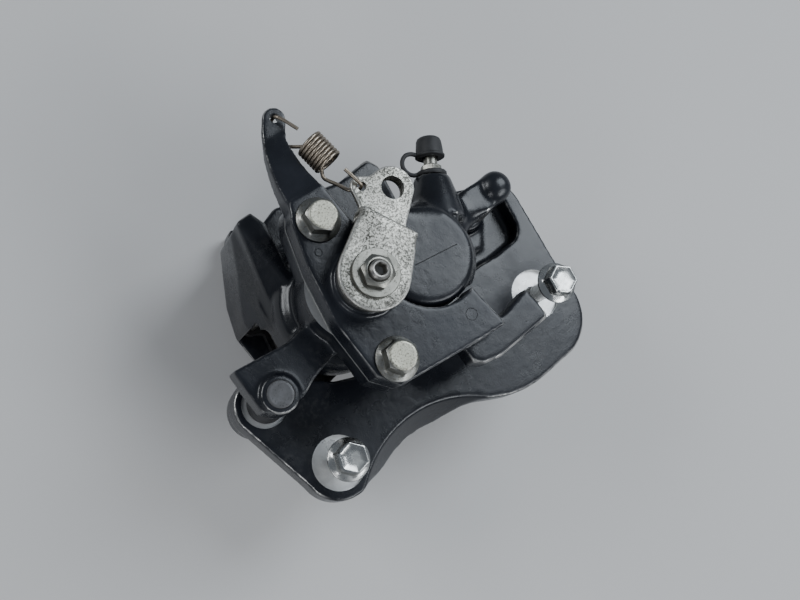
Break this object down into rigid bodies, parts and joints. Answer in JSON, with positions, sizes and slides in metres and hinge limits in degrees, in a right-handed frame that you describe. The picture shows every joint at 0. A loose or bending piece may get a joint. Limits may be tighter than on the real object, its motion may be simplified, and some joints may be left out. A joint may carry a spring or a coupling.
{
  "type": "brake caliper",
  "caption": "Sliding rear disc brake caliper with twin pistons, cable-worked parking lever and return spring on its back, bleed nipple, and an arched two-bolt carrier bracket.",
  "frame": {"origin": "on the bracket's flat mounting face, midway between the axes of its two mounting bolts", "axes": "+Z along the bolts, slide pins and pistons, from the mounting face towards the parking lever; +X from the left to the right mounting bolt; +Y away from the wheel's axle"},
  "size_m": [0.1667, 0.1594, 0.126],
  "materials": {
    "cast_black": "satin black paint over cast aluminium",
    "housing_black": "satin black paint over cast aluminium",
    "bright_zinc": "bright zinc plate",
    "dull_zinc": "weathered zinc plate",
    "lever_zinc": "speckled zinc plate",
    "dark_cap": "dull grey oxide",
    "stainless": "stainless spring sheet",
    "shaft_steel": "oiled steel",
    "spring_steel": "dull spring steel",
    "piston_metal": "ground and plated",
    "pad_paint": "baked black paint",
    "friction": "sintered friction material",
    "gasket": "fibre gasket",
    "rubber": "moulded rubber"
  },
  "bodies": {
    "bracket": {"caliper_bracket": "cast_black", "pad_retainer": "stainless", "slide_pin_right": "bright_zinc"},
    "mount_bolt_left": {"mount_bolt_left": "bright_zinc"},
    "mount_bolt_right": {"mount_bolt_right": "bright_zinc"},
    "caliper": {"caliper_body": "cast_black", "slide_pin_left": "dark_cap", "slide_boot_left": "rubber", "slide_boot_right": "rubber", "piston_seals": "rubber", "dust_seals": "rubber", "pad_pin": "stainless", "pad_pin_plug": "dull_zinc", "pad_spring": "stainless", "parking_gasket": "gasket", "parking_housing": "housing_black", "parking_bolts": "dull_zinc", "shaft_seal": "rubber", "push_rod_guide": "stainless", "return_spring": "spring_steel"},
    "bleeder": {"bleed_screw": "bright_zinc", "bleed_cap": "rubber"},
    "left_piston": {"piston_left": "piston_metal"},
    "right_piston": {"piston_right": "piston_metal"},
    "inner_pad": {"inner_pad_plate": "pad_paint", "inner_pad_lining": "friction", "inner_pad_shim": "stainless"},
    "outer_pad": {"outer_pad_plate": "pad_paint", "outer_pad_lining": "friction", "outer_pad_shim": "stainless"},
    "parking_lever": {"parking_shaft": "shaft_steel", "shaft_boot": "rubber", "parking_lever": "lever_zinc", "lever_washer": "dull_zinc", "adjuster_nut": "dull_zinc", "adjuster_screw": "shaft_steel"},
    "push_rod": {"push_rod": "shaft_steel"}
  },
  "joints": [
    {"name": "mount_bolt_left_slide", "type": "slide", "parent": "bracket", "child": "mount_bolt_left", "axis": [0, 0, -1], "range_m": [0, 0.0154]},
    {"name": "mount_bolt_right_slide", "type": "slide", "parent": "bracket", "child": "mount_bolt_right", "axis": [0, 0, -1], "range_m": [0, 0.0226]},
    {"name": "caliper_slide", "type": "slide", "parent": "bracket", "child": "caliper", "axis": [0, 0, 1], "range_m": [-0.002, 0.002], "deforming": ["slide_boot_left", "slide_boot_right"]},
    {"name": "bleed_screw_turn", "type": "hinge", "parent": "caliper", "child": "bleeder", "pos_m": [0.0343, 0.0639, 0.045], "axis": [0.5835, 0.8121, 0], "range_deg": [0, 180]},
    {"name": "left_piston_slide", "type": "slide", "parent": "caliper", "child": "left_piston", "axis": [0, 0, -1], "range_m": [0, 0.0025]},
    {"name": "right_piston_slide", "type": "slide", "parent": "caliper", "child": "right_piston", "axis": [0, 0, -1], "range_m": [0, 0.0025]},
    {"name": "inner_pad_slide", "type": "slide", "parent": "caliper", "child": "inner_pad", "axis": [0, 0, -1], "range_m": [0, 0.0025]},
    {"name": "outer_pad_slide", "type": "slide", "parent": "caliper", "child": "outer_pad", "axis": [0, 0, 1], "range_m": [0, 0.0008]},
    {"name": "parking_lever_hinge", "type": "hinge", "parent": "caliper", "child": "parking_lever", "pos_m": [-0.022, 0.051, 0.07], "axis": [0, 0, -1], "range_deg": [0, 30], "stiffness_Nm_per_rad": 0.6, "springref_deg": -28.65, "deforming": ["return_spring"]},
    {"name": "push_rod_slide", "type": "slide", "parent": "caliper", "child": "push_rod", "axis": [0, 0, -1], "range_m": [0, 0.0012]}
  ],
  "couplings": [
    {"joint": "right_piston_slide", "follows": "left_piston_slide", "ratio": 1},
    {"joint": "inner_pad_slide", "follows": "left_piston_slide", "ratio": 1},
    {"joint": "push_rod_slide", "follows": "parking_lever_hinge", "m_per_rad": 0.00228}
  ]
}
